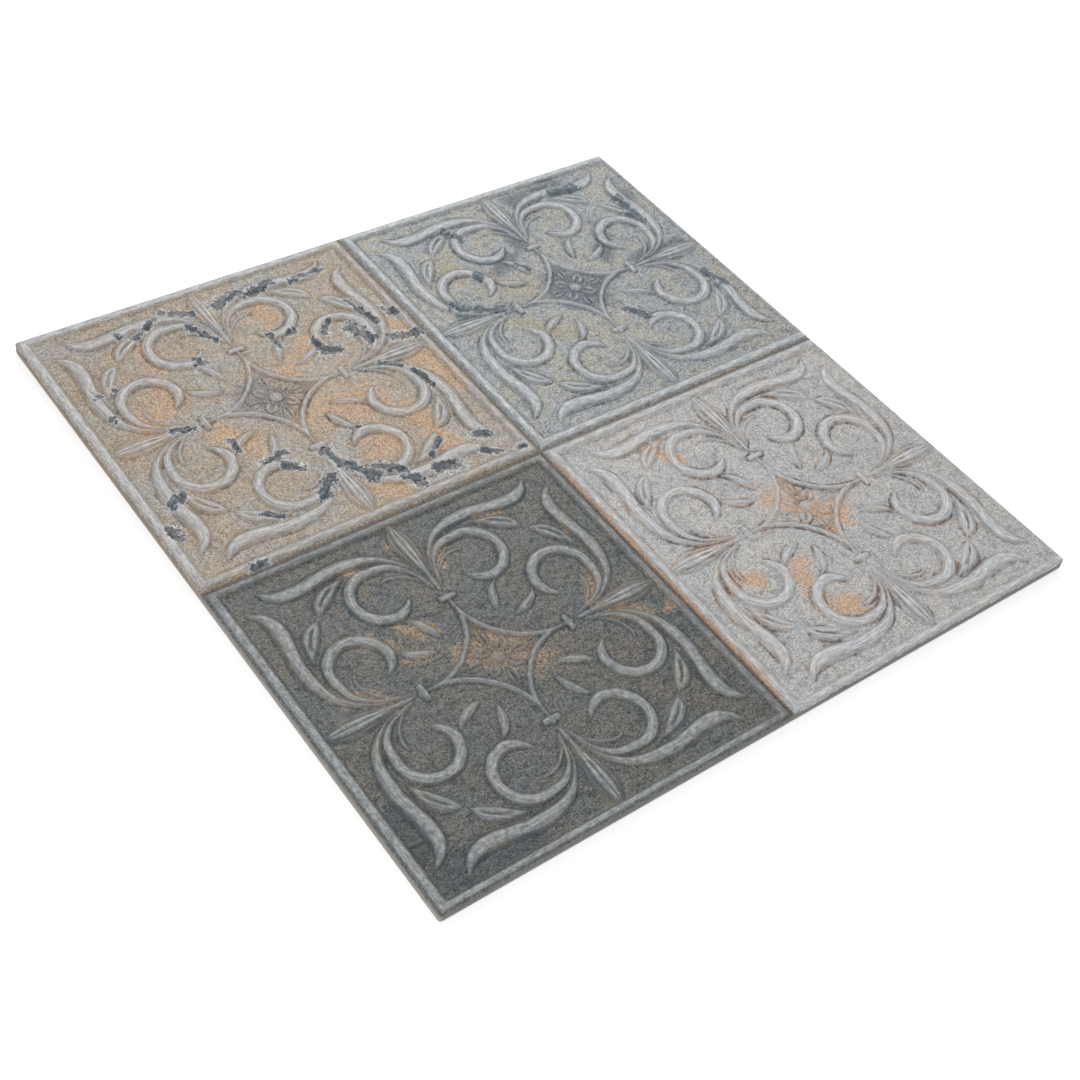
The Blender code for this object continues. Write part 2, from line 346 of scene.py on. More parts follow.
@dataclass
class Relief:
    """The height of one panel's face on a square grid of lines, and what the glaze does on it."""

    half_side: float = 83.25
    cells: int = 312
    edge_spacing: float = 0.12
    edge_cells: float = 4.0
    tile_half: float = 166.5
    pattern_centre: tuple[float, float] = (1.4, -0.7)
    pattern_scale: tuple[float, float] = (1.013, 1.008)
    ornament_scale: float = 0.979
    free_inset: float = 5.0
    field_height: float = 5.55
    rim_height: float = 6.96
    bare_height: float = 4.6
    crest_inset: float = 3.7
    foot_inset: float = 7.0
    shoulder_width: float = 2.4
    score_floor: float = 5.0
    score_half_width: float = 0.5
    score_width: float = 3.2
    corner_radius: float = 1.5
    foot_groove: float = 0.14
    foot_width: float = 0.7
    lines: np.ndarray = field(init=False)
    height: np.ndarray = field(init=False)
    crown: np.ndarray = field(init=False)
    gap: np.ndarray = field(init=False)
    across: np.ndarray = field(init=False)
    along: np.ndarray = field(init=False)

    def __post_init__(self) -> None:
        """Sets the grid's lines and evaluates the ornament once for all panels."""
        self.lines = self.grid_lines()
        self.evaluate_ornament()

    def grid_lines(self) -> np.ndarray:
        """Spaces the grid's lines, closer together near the panel's edges.

        Returns:
            Their places from the panel's centre, in millimetres.
        """
        half = self.cells // 2
        count = np.arange(half)
        spacing = 1 - np.exp(-(count + 1) / self.edge_cells)
        lost = half - spacing.sum()
        widest = (self.half_side - self.edge_spacing * lost) / spacing.sum()
        spacing = self.edge_spacing + (widest - self.edge_spacing) * spacing
        spacing *= self.half_side / spacing.sum()
        inward = np.r_[0.0, np.cumsum(spacing)]
        positive = self.half_side - inward[::-1]
        return np.r_[-positive[:0:-1], positive]

    def evaluate_ornament(self) -> None:
        """Finds the ornament's height, outline and grain on a quarter and mirrors them."""
        half = self.cells // 2
        quarter = self.lines[half:]
        x, y = np.meshgrid(quarter, quarter, indexing="ij")
        low = np.minimum(x, y).ravel() / self.ornament_scale
        high = np.maximum(x, y).ravel() / self.ornament_scale
        height = np.zeros_like(low)
        gap = np.full_like(low, 99.0)
        across = np.zeros_like(low)
        along = np.zeros_like(low)
        for motif in MOTIFS:
            rise, away, side, run = motif.shape(low, high)
            top = rise > height
            across = np.where(top, side, across)
            along = np.where(top, run, along)
            height = np.where(top, rise, height)
            gap = np.minimum(gap, np.abs(away))
        radius = np.hypot(low, high)
        dimple = np.exp(-(((low - 1.1) ** 2 + (high - 1.1) ** 2) / 0.35))
        height -= 0.45 * dimple * (radius < 3.0)
        spread = np.abs(np.arange(self.cells + 1) - half)
        rows, columns = np.meshgrid(spread, spread, indexing="ij")
        side_count = half + 1
        self.crown = height.reshape(side_count, side_count)[rows, columns]
        self.gap = gap.reshape(side_count, side_count)[rows, columns]
        self.across = across.reshape(side_count, side_count)[rows, columns]
        self.along = along.reshape(side_count, side_count)[rows, columns]

    def edge_level(self, inset: np.ndarray, outer: bool) -> np.ndarray:
        """The level that one edge allows at a distance in from it.

        Args:
            inset: Distance from the panel's edge, in millimetres.
            outer: True at the tile's own edge, False at the scored cross.

        Returns:
            Levels above the back, in millimetres.
        """
        if outer:
            part = np.clip(1 - inset / self.shoulder_width, 0.0, 1.0)
            return self.bare_height + (self.rim_height - self.bare_height) * np.sqrt(1 - part ** 2.2)
        slope = self.score_width - self.score_half_width
        part = np.clip((inset - self.score_half_width) / slope, 0.0, 1.0)
        return self.score_floor + (self.rim_height - self.score_floor) * np.sin(part * math.pi / 2) ** 0.9

    def placed(self, axis: int, sign: int) -> np.ndarray:
        """Where one panel's grid lines lie on the tile along one axis.

        The pressed pattern is a little larger than the trimmed tile and off its centre, so
        the last few millimetres of a rim stretch or shrink to meet the tile's own edge.

        Args:
            axis: 0 for X, 1 for Y.
            sign: The sign of the panel's centre on that axis.

        Returns:
            Places from the tile's centre, in millimetres.
        """
        middle = sign * self.half_side
        pressed = self.pattern_centre[axis] + self.pattern_scale[axis] * (middle + self.lines)
        outward = sign * self.lines
        bend = self.half_side - self.free_inset
        bend_place = self.pattern_centre[axis] + self.pattern_scale[axis] * sign * (self.half_side + bend)
        part = (outward - bend) / self.free_inset
        trimmed = bend_place + (sign * self.tile_half - bend_place) * part
        return np.where(outward > bend, trimmed, pressed)

    def base_level(self, signs: tuple[int, int]) -> np.ndarray:
        """The panel without its ornament: edges, rims and the sunken field.

        Args:
            signs: The signs of the panel's centre on X and Y.

        Returns:
            Levels on the grid.
        """
        x, y = np.meshgrid(self.lines, self.lines, indexing="ij")
        place_x, place_y = np.meshgrid(self.placed(0, signs[0]), self.placed(1, signs[1]), indexing="ij")
        insets = (
            (self.half_side + signs[0] * x, False),
            (self.half_side + signs[1] * y, False),
            (self.tile_half - np.abs(place_x), True),
            (self.tile_half - np.abs(place_y), True),
        )
        inset = self.half_side - np.maximum(np.abs(x), np.abs(y))
        bowl = 1 - smooth_step(inset, self.crest_inset, self.foot_inset)
        level = self.field_height + (self.rim_height - self.field_height) * bowl
        crest = np.exp(-((inset - self.crest_inset) / 1.3) ** 2)
        level -= 0.10 * (1 - crest) * (inset < self.crest_inset)
        for distance, outer in insets:
            level = np.minimum(level, self.edge_level(distance, outer))
        return level

    def corner_rounded(self, signs: tuple[int, int]) -> tuple[np.ndarray, np.ndarray]:
        """The grid's places, with the square at the tile's own corner drawn into a round.

        Args:
            signs: The signs of the panel's centre on X and Y.

        Returns:
            Places across and up, in millimetres from the tile's centre.
        """
        x, y = np.meshgrid(self.placed(0, signs[0]), self.placed(1, signs[1]), indexing="ij")
        sign_x, sign_y = signs
        pivot = self.tile_half - self.corner_radius
        off_x = np.maximum(x * sign_x - pivot, 0.0)
        off_y = np.maximum(y * sign_y - pivot, 0.0)
        both = (off_x > 0) & (off_y > 0)
        reach = np.hypot(off_x, off_y)
        shrink = np.where(both, np.maximum(off_x, off_y) / np.maximum(reach, 1e-9), 1.0)
        x = np.where(both, sign_x * (pivot + off_x * shrink), x)
        y = np.where(both, sign_y * (pivot + off_y * shrink), y)
        return x, y


@dataclass(frozen=True)
class Patch:
    """A place where the glaze differs, as a short line with a radius, in millimetres."""

    x0: float
    y0: float
    x1: float
    y1: float
    radius: float

    def cover(self, x: np.ndarray, y: np.ndarray) -> np.ndarray:
        """Finds how deep in the patch each place lies.

        Args:
            x: Places across from the panel's centre, in millimetres.
            y: Places up from it.

        Returns:
            1 at the patch's line, 0 at its edge, and down to -1 outside.
        """
        run_x = self.x1 - self.x0
        run_y = self.y1 - self.y0
        part = ((x - self.x0) * run_x + (y - self.y0) * run_y) / max(run_x ** 2 + run_y ** 2, 1e-9)
        part = np.clip(part, 0.0, 1.0)
        reach = np.hypot(x - self.x0 - part * run_x, y - self.y0 - part * run_y)
        return np.clip(1 - reach / self.radius, -1.0, 1.0)


@dataclass(frozen=True)
class Glaze:
    """One panel's fired satin glaze over pressed porcelain, wiped by hand before firing.

    To the eye it is stippled on the field, thin and pale on the ridges with a painted highlight on them,
    and dark at their feet, partly as painted shade.
    """

    name: str
    seed: int
    ground: str
    ground_other: str
    speck: str
    crown: str
    crown_other: str
    ridge_glaze_and_highlight: str
    rim: str
    pool_and_shade: str
    pool_and_shade_other: str
    score: str
    warm: str
    flake: str
    flake_thin: str
    fringe: str
    wash: str
    crown_tint_and_shade_cover: float
    ridge_glaze_and_highlight_cover: float
    rim_cover: float
    pool_and_shade_cover: float
    halo_shade_cover: float
    speck_cover: float
    grit: float
    grit_warm: float = 0.05
    bare_inner_rim: float = 0.5
    warm_patches: tuple[Patch, ...] = ()
    flake_patches: tuple[Patch, ...] = ()
    wash_patches: tuple[Patch, ...] = ()

    def material(self) -> bpy.types.Material:
        """Builds the glaze's material.

        Returns:
            A material that reads the mesh's "relief", "patches" and "grain" attributes.
        """
        made = bpy.data.materials.new(self.name)
        made.use_nodes = True
        tree = made.node_tree
        shader = tree.nodes["Principled BSDF"]
        place = self.places(tree)
        relief = add(tree, "ShaderNodeSeparateXYZ", {}, {
            0: add(tree, "ShaderNodeAttribute", {"attribute_name": "relief"}, {}).outputs["Vector"],
        })
        patches = add(tree, "ShaderNodeSeparateXYZ", {}, {
            0: add(tree, "ShaderNodeAttribute", {"attribute_name": "patches"}, {}).outputs["Vector"],
        })
        grain = add(tree, "ShaderNodeAttribute", {"attribute_name": "grain"}, {})
        crown = add(tree, "ShaderNodeSeparateXYZ", {}, {0: grain.outputs["Vector"]}).outputs[2]
        colour = self.ground_colour(tree, place, patches.outputs[2])
        colour = self.warmed(tree, place, colour, patches.outputs[1])
        colour = self.crested(tree, place, colour, relief, crown)
        colour = self.streaked(tree, grain.outputs["Vector"], colour, crown)
        colour = self.pooled_and_shaded(tree, place, colour, relief)
        colour = self.scored(tree, colour, relief.outputs[2])
        colour = self.flaked(tree, place, colour, patches.outputs[0])
        colour = self.stippled(tree, place, colour, crown)
        tree.links.new(colour, shader.inputs["Base Color"])
        self.surface(tree, place, crown, shader)
        return made

    def places(self, tree: Tree) -> Socket:
        """Finds object coordinates in millimetres, moved so that each panel has noise of its own.

        Args:
            tree: The material's nodes.

        Returns:
            The coordinates.
        """
        source = add(tree, "ShaderNodeTexCoord", {}, {})
        mapped = add(tree, "ShaderNodeMapping", {}, {
            "Vector": source.outputs["Object"],
            "Location": (self.seed * 371.0, self.seed * 113.0, 0.0),
            "Scale": (1 / MM, 1 / MM, 1 / MM),
        })
        return mapped.outputs[0]

    def ground_colour(self, tree: Tree, place: Socket, cover: Socket) -> Socket:
        """Mottles the field with clouds 18 mm wide and blots 4 mm wide, and washes parts of it over.

        Args:
            tree: The material's nodes.
            place: The place in millimetres.
            cover: Where the wash lies.

        Returns:
            The field's colour.
        """
        cloud = add(tree, "ShaderNodeTexNoise", {}, {
            "Vector": place, "Scale": 1 / 18, "Detail": 5.0, "Roughness": 0.6,
        })
        cloud_part = add(tree, "ShaderNodeMapRange", EASED, {
            "Value": cloud.outputs[0], "From Min": 0.38, "From Max": 0.62,
        })
        mixed = add(tree, "ShaderNodeMix", COLOUR, {
            0: cloud_part.outputs[0], 6: linear(self.ground), 7: linear(self.ground_other),
        })
        blot = add(tree, "ShaderNodeTexNoise", {}, {
            "Vector": place, "Scale": 1 / 4, "Detail": 6.0, "Roughness": 0.7,
        })
        blot_part = add(tree, "ShaderNodeMapRange", EASED, {
            "Value": blot.outputs[0], "From Min": 0.5, "From Max": 0.64, "To Max": self.speck_cover,
        })
        blotted = add(tree, "ShaderNodeMix", COLOUR, {
            0: blot_part.outputs[0], 6: mixed.outputs[2], 7: linear(self.speck),
        })
        wash = add(tree, "ShaderNodeMath", {"operation": "MULTIPLY_ADD"}, {
            0: blot.outputs[0], 1: 1.6, 2: -0.8,
        })
        washed = add(tree, "ShaderNodeMath", {"operation": "ADD"}, {0: cover, 1: wash.outputs[0]})
        wash_part = add(tree, "ShaderNodeMapRange", EASED, {
            "Value": washed.outputs[0], "From Min": -0.15, "From Max": 0.6, "To Max": 0.85,
        })
        result = add(tree, "ShaderNodeMix", COLOUR, {
            0: wash_part.outputs[0], 6: blotted.outputs[2], 7: linear(self.wash),
        })
        return result.outputs[2]

    def warmed(self, tree: Tree, place: Socket, colour: Socket, cover: Socket) -> Socket:
        """Adds iron-tinted stains, broken up finely so that the field shows between.

        Args:
            tree: The material's nodes.
            place: The place in millimetres.
            colour: The colour so far.
            cover: Where the stains lie.

        Returns:
            The colour with it.
        """
        rough = add(tree, "ShaderNodeTexNoise", {}, {
            "Vector": place, "Scale": 1 / 6, "Detail": 9.0, "Roughness": 0.72,
        })
        raised = add(tree, "ShaderNodeMath", {"operation": "MULTIPLY_ADD"}, {
            0: rough.outputs[0], 1: 3.0, 2: -1.5,
        })
        total = add(tree, "ShaderNodeMath", {"operation": "ADD"}, {0: cover, 1: raised.outputs[0]})
        part = add(tree, "ShaderNodeMapRange", EASED, {
            "Value": total.outputs[0], "From Min": -0.2, "From Max": 0.9, "To Max": 0.75,
        })
        mixed = add(tree, "ShaderNodeMix", COLOUR, {
            0: part.outputs[0], 6: colour, 7: linear(self.warm),
        })
        return mixed.outputs[2]

    def crested(
        self, tree: Tree, place: Socket, colour: Socket, relief: bpy.types.Node, crown: Socket
    ) -> Socket:
        """Tints each raised form and rim, the forms' tint partly a painted shade on their flanks, and thins
        the glaze to a paler one where they are most convex, which is partly a painted highlight.

        Args:
            tree: The material's nodes.
            place: The place in millimetres.
            colour: The colour so far.
            relief: The node that parts the "relief" attribute.
            crown: Where the raised forms and rims are.

        Returns:
            The colour with it.
        """
        rough = add(tree, "ShaderNodeTexNoise", {}, {
            "Vector": place, "Scale": 1 / 2.4, "Detail": 6.0, "Roughness": 0.65,
        })
        breaks = add(tree, "ShaderNodeMapRange", {}, {
            "Value": rough.outputs[0], "From Min": 0.36, "From Max": 0.6, "To Min": 0.45, "To Max": 1.15,
        })
        change = add(tree, "ShaderNodeTexNoise", {}, {
            "Vector": place, "Scale": 1 / 15, "Detail": 5.0, "Roughness": 0.6,
        })
        change_part = add(tree, "ShaderNodeMapRange", EASED, {
            "Value": change.outputs[0], "From Min": 0.46, "From Max": 0.6,
        })
        crown_tint_and_shade = add(tree, "ShaderNodeMix", COLOUR, {
            0: change_part.outputs[0], 6: linear(self.crown), 7: linear(self.crown_other),
        })
        # The crown tint is partly painted shade on the forms' flanks; the paler tint on the ridges is
        # partly a painted highlight.
        for source, most, tint in (
            (crown, self.crown_tint_and_shade_cover, crown_tint_and_shade.outputs[2]),
            (relief.outputs[2], self.rim_cover, linear(self.rim)),
            (relief.outputs[0], self.ridge_glaze_and_highlight_cover, linear(self.ridge_glaze_and_highlight)),
        ):
            part = add(tree, "ShaderNodeMath", {"operation": "MULTIPLY"}, {0: source, 1: breaks.outputs[0]})
            cover = add(tree, "ShaderNodeMath", {"operation": "MULTIPLY", "use_clamp": True}, {
                0: part.outputs[0], 1: most,
            })
            mixed = add(tree, "ShaderNodeMix", COLOUR, {0: cover.outputs[0], 6: colour, 7: tint})
            colour = mixed.outputs[2]
        return colour

    def streaked(self, tree: Tree, grain: Socket, colour: Socket, crown: Socket) -> Socket:
        """Adds fine brushed streaks that run along each raised form.

        Args:
            tree: The material's nodes.
            grain: The distances across and along the form.
            colour: The colour so far.
            crown: Where the raised forms and rims are.

        Returns:
            The colour with it.
        """
        stretched = add(tree, "ShaderNodeVectorMath", {"operation": "MULTIPLY"}, {
            0: grain, 1: (1.3, 0.16, 0.0),
        })
        streak = add(tree, "ShaderNodeTexNoise", {}, {
            "Vector": stretched.outputs[0], "Scale": 1.0, "Detail": 4.0,
        })
        shade = add(tree, "ShaderNodeMapRange", {}, {
            "Value": streak.outputs[0], "From Min": 0.35, "From Max": 0.65, "To Min": 0.7, "To Max": 1.28,
        })
        scaled = add(tree, "ShaderNodeVectorMath", {"operation": "SCALE"}, {
            0: colour, "Scale": shade.outputs[0],
        })
        mixed = add(tree, "ShaderNodeMix", COLOUR, {0: crown, 6: colour, 7: scaled.outputs[0]})
        return mixed.outputs[2]

    def pooled_and_shaded(self, tree: Tree, place: Socket, colour: Socket, relief: bpy.types.Node) -> Socket:
        """Adds the dark glaze that has run down into the creases, deepened there and spread round the forms
        as painted shade.

        Args:
            tree: The material's nodes.
            place: The place in millimetres.
            colour: The colour so far.
            relief: The node that parts the "relief" attribute.

        Returns:
            The colour with it.
        """
        rough = add(tree, "ShaderNodeTexNoise", {}, {
            "Vector": place, "Scale": 1 / 3.2, "Detail": 6.0, "Roughness": 0.65,
        })
        breaks = add(tree, "ShaderNodeMapRange", {}, {
            "Value": rough.outputs[0], "From Min": 0.38, "From Max": 0.56, "To Min": 0.25, "To Max": 1.0,
        })
        stretch = add(tree, "ShaderNodeTexNoise", {}, {"Vector": place, "Scale": 1 / 13, "Detail": 3.0})
        stretches = add(tree, "ShaderNodeMapRange", EASED, {
            "Value": stretch.outputs[0], "From Min": 0.4, "From Max": 0.6, "To Min": 0.05, "To Max": 1.6,
        })
        broken = add(tree, "ShaderNodeMath", {"operation": "MULTIPLY"}, {
            0: breaks.outputs[0], 1: stretches.outputs[0],
        })
        part = add(tree, "ShaderNodeMath", {"operation": "MULTIPLY"}, {
            0: relief.outputs[1], 1: broken.outputs[0],
        })
        cover = add(tree, "ShaderNodeMath", {"operation": "MULTIPLY", "use_clamp": True}, {
            0: part.outputs[0], 1: self.pool_and_shade_cover,
        })
        tone = add(tree, "ShaderNodeTexNoise", {}, {"Vector": place, "Scale": 1 / 24, "Detail": 4.0})
        tone_part = add(tree, "ShaderNodeMapRange", {}, {
            "Value": tone.outputs[0], "From Min": 0.42, "From Max": 0.58,
        })
        toned = add(tree, "ShaderNodeMix", COLOUR, {
            0: tone_part.outputs[0], 6: linear(self.pool_and_shade), 7: linear(self.pool_and_shade_other),
        })
        # The dark tone is glaze gathered in the creases, partly painted shade, and painted shade round the
        # forms.
        mixed = add(tree, "ShaderNodeMix", COLOUR, {
            0: cover.outputs[0], 6: colour, 7: toned.outputs[2],
        })
        return mixed.outputs[2]

    def scored(self, tree: Tree, colour: Socket, rim: Socket) -> Socket:
        """Adds the brown line along the bottom of the scored cross.

        Args:
            tree: The material's nodes.
            colour: The colour so far.
            rim: The rim's cover, which falls below zero in the score.

        Returns:
            The colour with it.
        """
        part = add(tree, "ShaderNodeMapRange", {}, {
            "Value": rim, "From Min": -1.0, "From Max": 0.0, "To Min": 0.9, "To Max": 0.0,
        })
        mixed = add(tree, "ShaderNodeMix", COLOUR, {
            0: part.outputs[0], 6: colour, 7: linear(self.score),
        })
        return mixed.outputs[2]

    def flaked(self, tree: Tree, place: Socket, colour: Socket, cover: Socket) -> Socket:
        """Adds slate-dark flakes with sharp broken edges and thinner places, inside a pale fringe.

        Args:
            tree: The material's nodes.
            place: The place in millimetres.
            colour: The colour so far.
            cover: Where the flakes lie.

        Returns:
            The colour with it.
        """
        rough = add(tree, "ShaderNodeTexNoise", {}, {
            "Vector": place, "Scale": 1 / 3.5, "Detail": 9.0, "Roughness": 0.72,
        })
        raised = add(tree, "ShaderNodeMath", {"operation": "MULTIPLY_ADD"}, {
            0: rough.outputs[0], 1: 5.2, 2: -2.6,
        })
        total = add(tree, "ShaderNodeMath", {"operation": "ADD"}, {0: cover, 1: raised.outputs[0]})
        fringe_part = add(tree, "ShaderNodeMapRange", EASED, {
            "Value": total.outputs[0], "From Min": -0.35, "From Max": 0.15, "To Max": 0.75,
        })
        fringed = add(tree, "ShaderNodeMix", COLOUR, {
            0: fringe_part.outputs[0], 6: colour, 7: linear(self.fringe),
        })
        thin = add(tree, "ShaderNodeTexNoise", {}, {
            "Vector": place, "Scale": 1 / 2.2, "Detail": 6.0, "Roughness": 0.7,
        })
        thin_part = add(tree, "ShaderNodeMapRange", {}, {
            "Value": thin.outputs[0], "From Min": 0.44, "From Max": 0.62,
        })
        toned = add(tree, "ShaderNodeMix", COLOUR, {
            0: thin_part.outputs[0], 6: linear(self.flake), 7: linear(self.flake_thin),
        })
        flake_part = add(tree, "ShaderNodeMapRange", EASED, {
            "Value": total.outputs[0], "From Min": 0.2, "From Max": 0.32, "To Max": 0.92,
        })
        flaked = add(tree, "ShaderNodeMix", COLOUR, {
            0: flake_part.outputs[0], 6: fringed.outputs[2], 7: toned.outputs[2],
        })
        return flaked.outputs[2]

    def stippled(self, tree: Tree, place: Socket, colour: Socket, crown: Socket) -> Socket:
        """Adds light, dark and warm grains of about 1 mm, strong on the field and faint on raised forms.

        Args:
            tree: The material's nodes.
            place: The place in millimetres.
            colour: The colour so far.
            crown: Where the raised forms and rims are.

        Returns:
            The colour with it.
        """
        grains = add(tree, "ShaderNodeTexNoise", {}, {
            "Vector": place, "Scale": 1 / 0.75, "Detail": 2.0, "Roughness": 0.6,
        })
        shade = add(tree, "ShaderNodeMapRange", {}, {
            "Value": grains.outputs[0], "From Min": 0.3, "From Max": 0.7,
            "To Min": 1 - self.grit, "To Max": 1 + self.grit,
        })
        sparse = add(tree, "ShaderNodeTexNoise", {}, {
            "Vector": place, "Scale": 1 / 1.2, "Detail": 3.0, "Roughness": 0.6,
        })
        sparse_part = add(tree, "ShaderNodeMapRange", {}, {
            "Value": sparse.outputs[0], "From Min": 0.46, "From Max": 0.6, "To Max": self.grit_warm,
        })
        tinted = add(tree, "ShaderNodeMix", COLOUR, {
            0: sparse_part.outputs[0], 6: colour, 7: linear(self.warm),
        })
        scaled = add(tree, "ShaderNodeVectorMath", {"operation": "SCALE"}, {
            0: tinted.outputs[2], "Scale": shade.outputs[0],
        })
        smooth = add(tree, "ShaderNodeMath", {"operation": "MULTIPLY"}, {0: crown, 1: 0.75})
        mixed = add(tree, "ShaderNodeMix", COLOUR, {0: smooth.outputs[0], 6: scaled.outputs[0], 7: colour})
        return mixed.outputs[2]

    def surface(self, tree: Tree, place: Socket, crown: Socket, shader: bpy.types.Node) -> None:
        """Sets the satin gloss and the sandy grain of about 1 mm that shows through the glaze.

        Args:
            tree: The material's nodes.
            place: The place in millimetres.
            crown: Where the raised forms and rims are, which are smoother.
            shader: The material's shader.
        """
        grain = add(tree, "ShaderNodeTexNoise", {}, {"Vector": place, "Scale": 1 / 1.3, "Detail": 3.0})
        calm = add(tree, "ShaderNodeMapRange", {}, {
            "Value": crown, "From Min": 0.1, "From Max": 0.8, "To Min": 1.0, "To Max": 0.4,
        })
        depth = add(tree, "ShaderNodeMath", {"operation": "MULTIPLY"}, {
            0: grain.outputs[0], 1: calm.outputs[0],
        })
        bump = add(tree, "ShaderNodeBump", {}, {
            "Height": depth.outputs[0], "Distance": 0.3 * MM, "Strength": 1.0,
        })
        tree.links.new(bump.outputs[0], shader.inputs["Normal"])
        gloss = add(tree, "ShaderNodeMapRange", {}, {
            "Value": grain.outputs[0], "From Min": 0.3, "From Max": 0.7, "To Min": 0.36, "To Max": 0.5,
        })
        tree.links.new(gloss.outputs[0], shader.inputs["Roughness"])
        shader.inputs["IOR"].default_value = 1.5


# Slate: a dark blue-grey satin glaze, brushed off the ridges to a pale grey that also carries a painted
# highlight, and rusty in places.
SLATE = Glaze(
    name="glazed_porcelain_slate", seed=1,
    ground="#5c6162", ground_other="#65625a", speck="#404546", crown="#50575a", crown_other="#736b60",
    ridge_glaze_and_highlight="#afb3b3", rim="#6f7373",
    pool_and_shade="#282e30", pool_and_shade_other="#424e57", score="#5b4738", warm="#a0876b",
    flake="#2f3a40", flake_thin="#566066", fringe="#8b9396", wash="#42474a",
    crown_tint_and_shade_cover=0.8, ridge_glaze_and_highlight_cover=0.68, rim_cover=0.5, pool_and_shade_cover=0.42, halo_shade_cover=0.25, speck_cover=0.85,
    grit=0.8,
    bare_inner_rim=0.9,
    warm_patches=(
        Patch(-6, 6, 12, -4, 12), Patch(0, 14, 14, 0, 7), Patch(36, 66, 44, 66, 6), Patch(6, 50, 12, 58, 4),
        Patch(-40, 32, -34, 24, 5), Patch(-24, 30, -14, 24, 5), Patch(-30, 17, -22, 14, 4),
        Patch(-62, 14, -52, 6, 6), Patch(50, 4, 62, 18, 5), Patch(56, -4, 64, -12, 6),
        Patch(68, 46, 64, 40, 4), Patch(76, -14, 80, -14, 4), Patch(-28, 65, -24, 60, 4),
        Patch(-4, 68, 2, 64, 4),
    ),
    wash_patches=(Patch(-68, -70, -40, -74, 13), Patch(-72, -60, -72, -40, 9)),
)
# Ash: a pale grey satin glaze with brown lines of glaze and painted shade in its creases and peach stains
# round the star.
ASH = Glaze(
    name="glazed_porcelain_ash", seed=2,
    ground="#b5b7b8", ground_other="#bebbb6", speck="#979695", crown="#999ca0", crown_other="#a59585",
    ridge_glaze_and_highlight="#d8d9da", rim="#b3b3b2",
    pool_and_shade="#58585c", pool_and_shade_other="#876a54", score="#6a5a4c", warm="#cda27c",
    flake="#8a5a3c", flake_thin="#a07a5c", fringe="#c2b3a2", wash="#a7a6a4",
    crown_tint_and_shade_cover=0.75, ridge_glaze_and_highlight_cover=0.68, rim_cover=0.5, pool_and_shade_cover=0.78, halo_shade_cover=0.18, speck_cover=0.7,
    grit=0.46,
    grit_warm=0.03,
    warm_patches=(
        Patch(-8, 8, 8, -8, 11), Patch(0, 16, 0, -16, 4), Patch(-27, -24, -32, -34, 6),
        Patch(-22, -52, -30, -48, 8), Patch(-56, -16, -48, -22, 6), Patch(-14, 22, -14, 22, 3),
        Patch(-40, 60, -32, 50, 5), Patch(-83, 70, -83, -70, 4), Patch(-60, 4, -46, 0, 5),
    ),
)
# Stone: a mid grey satin glaze with blue-grey pools in its creases that are partly painted shade, slate
# flakes and a dark washed star.
STONE = Glaze(
    name="glazed_porcelain_stone", seed=3,
    ground="#9aa1a5", ground_other="#a9a69c", speck="#777c7f", crown="#7d848b", crown_other="#9a9a97",
    ridge_glaze_and_highlight="#d2d6d9", rim="#b6b8b7",
    pool_and_shade="#36434e", pool_and_shade_other="#586168", score="#5d5248", warm="#a39a84",
    flake="#41505a", flake_thin="#6f7b82", fringe="#a9aeb0", wash="#56626c",
    crown_tint_and_shade_cover=0.75, ridge_glaze_and_highlight_cover=0.66, rim_cover=0.6, pool_and_shade_cover=0.6, halo_shade_cover=0.22, speck_cover=0.85,
    grit=0.6,
    grit_warm=0.1, bare_inner_rim=0.1,
    warm_patches=(Patch(-50, 40, -24, 8, 12), Patch(-40, -8, -24, -24, 10),),
    flake_patches=(
        Patch(27, 74, 37, 73, 3), Patch(36, 66, 48, 65, 4.5), Patch(64, 48, 64, 40, 3.5),
        Patch(60, 34, 64, 26, 3), Patch(-62, 14, -42, 2, 4), Patch(-38, 30, -38, 26, 3),
        Patch(-16, 27, -12, 22, 2.5), Patch(66, -20, 70, -32, 3), Patch(12, -24, 18, -34, 2.5),
        Patch(-34, 64, -30, 56, 3),
    ),
    wash_patches=(
        Patch(-4, 4, 4, -4, 17), Patch(14, 70, 40, 74, 7), Patch(44, 4, 70, 4, 7), Patch(-4, 40, -4, 58, 7),
        Patch(30, 14, 38, 26, 6), Patch(-30, 26, -16, 34, 6), Patch(-60, 6, -40, 2, 7),
        Patch(60, 30, 70, 50, 6),
    ),
)
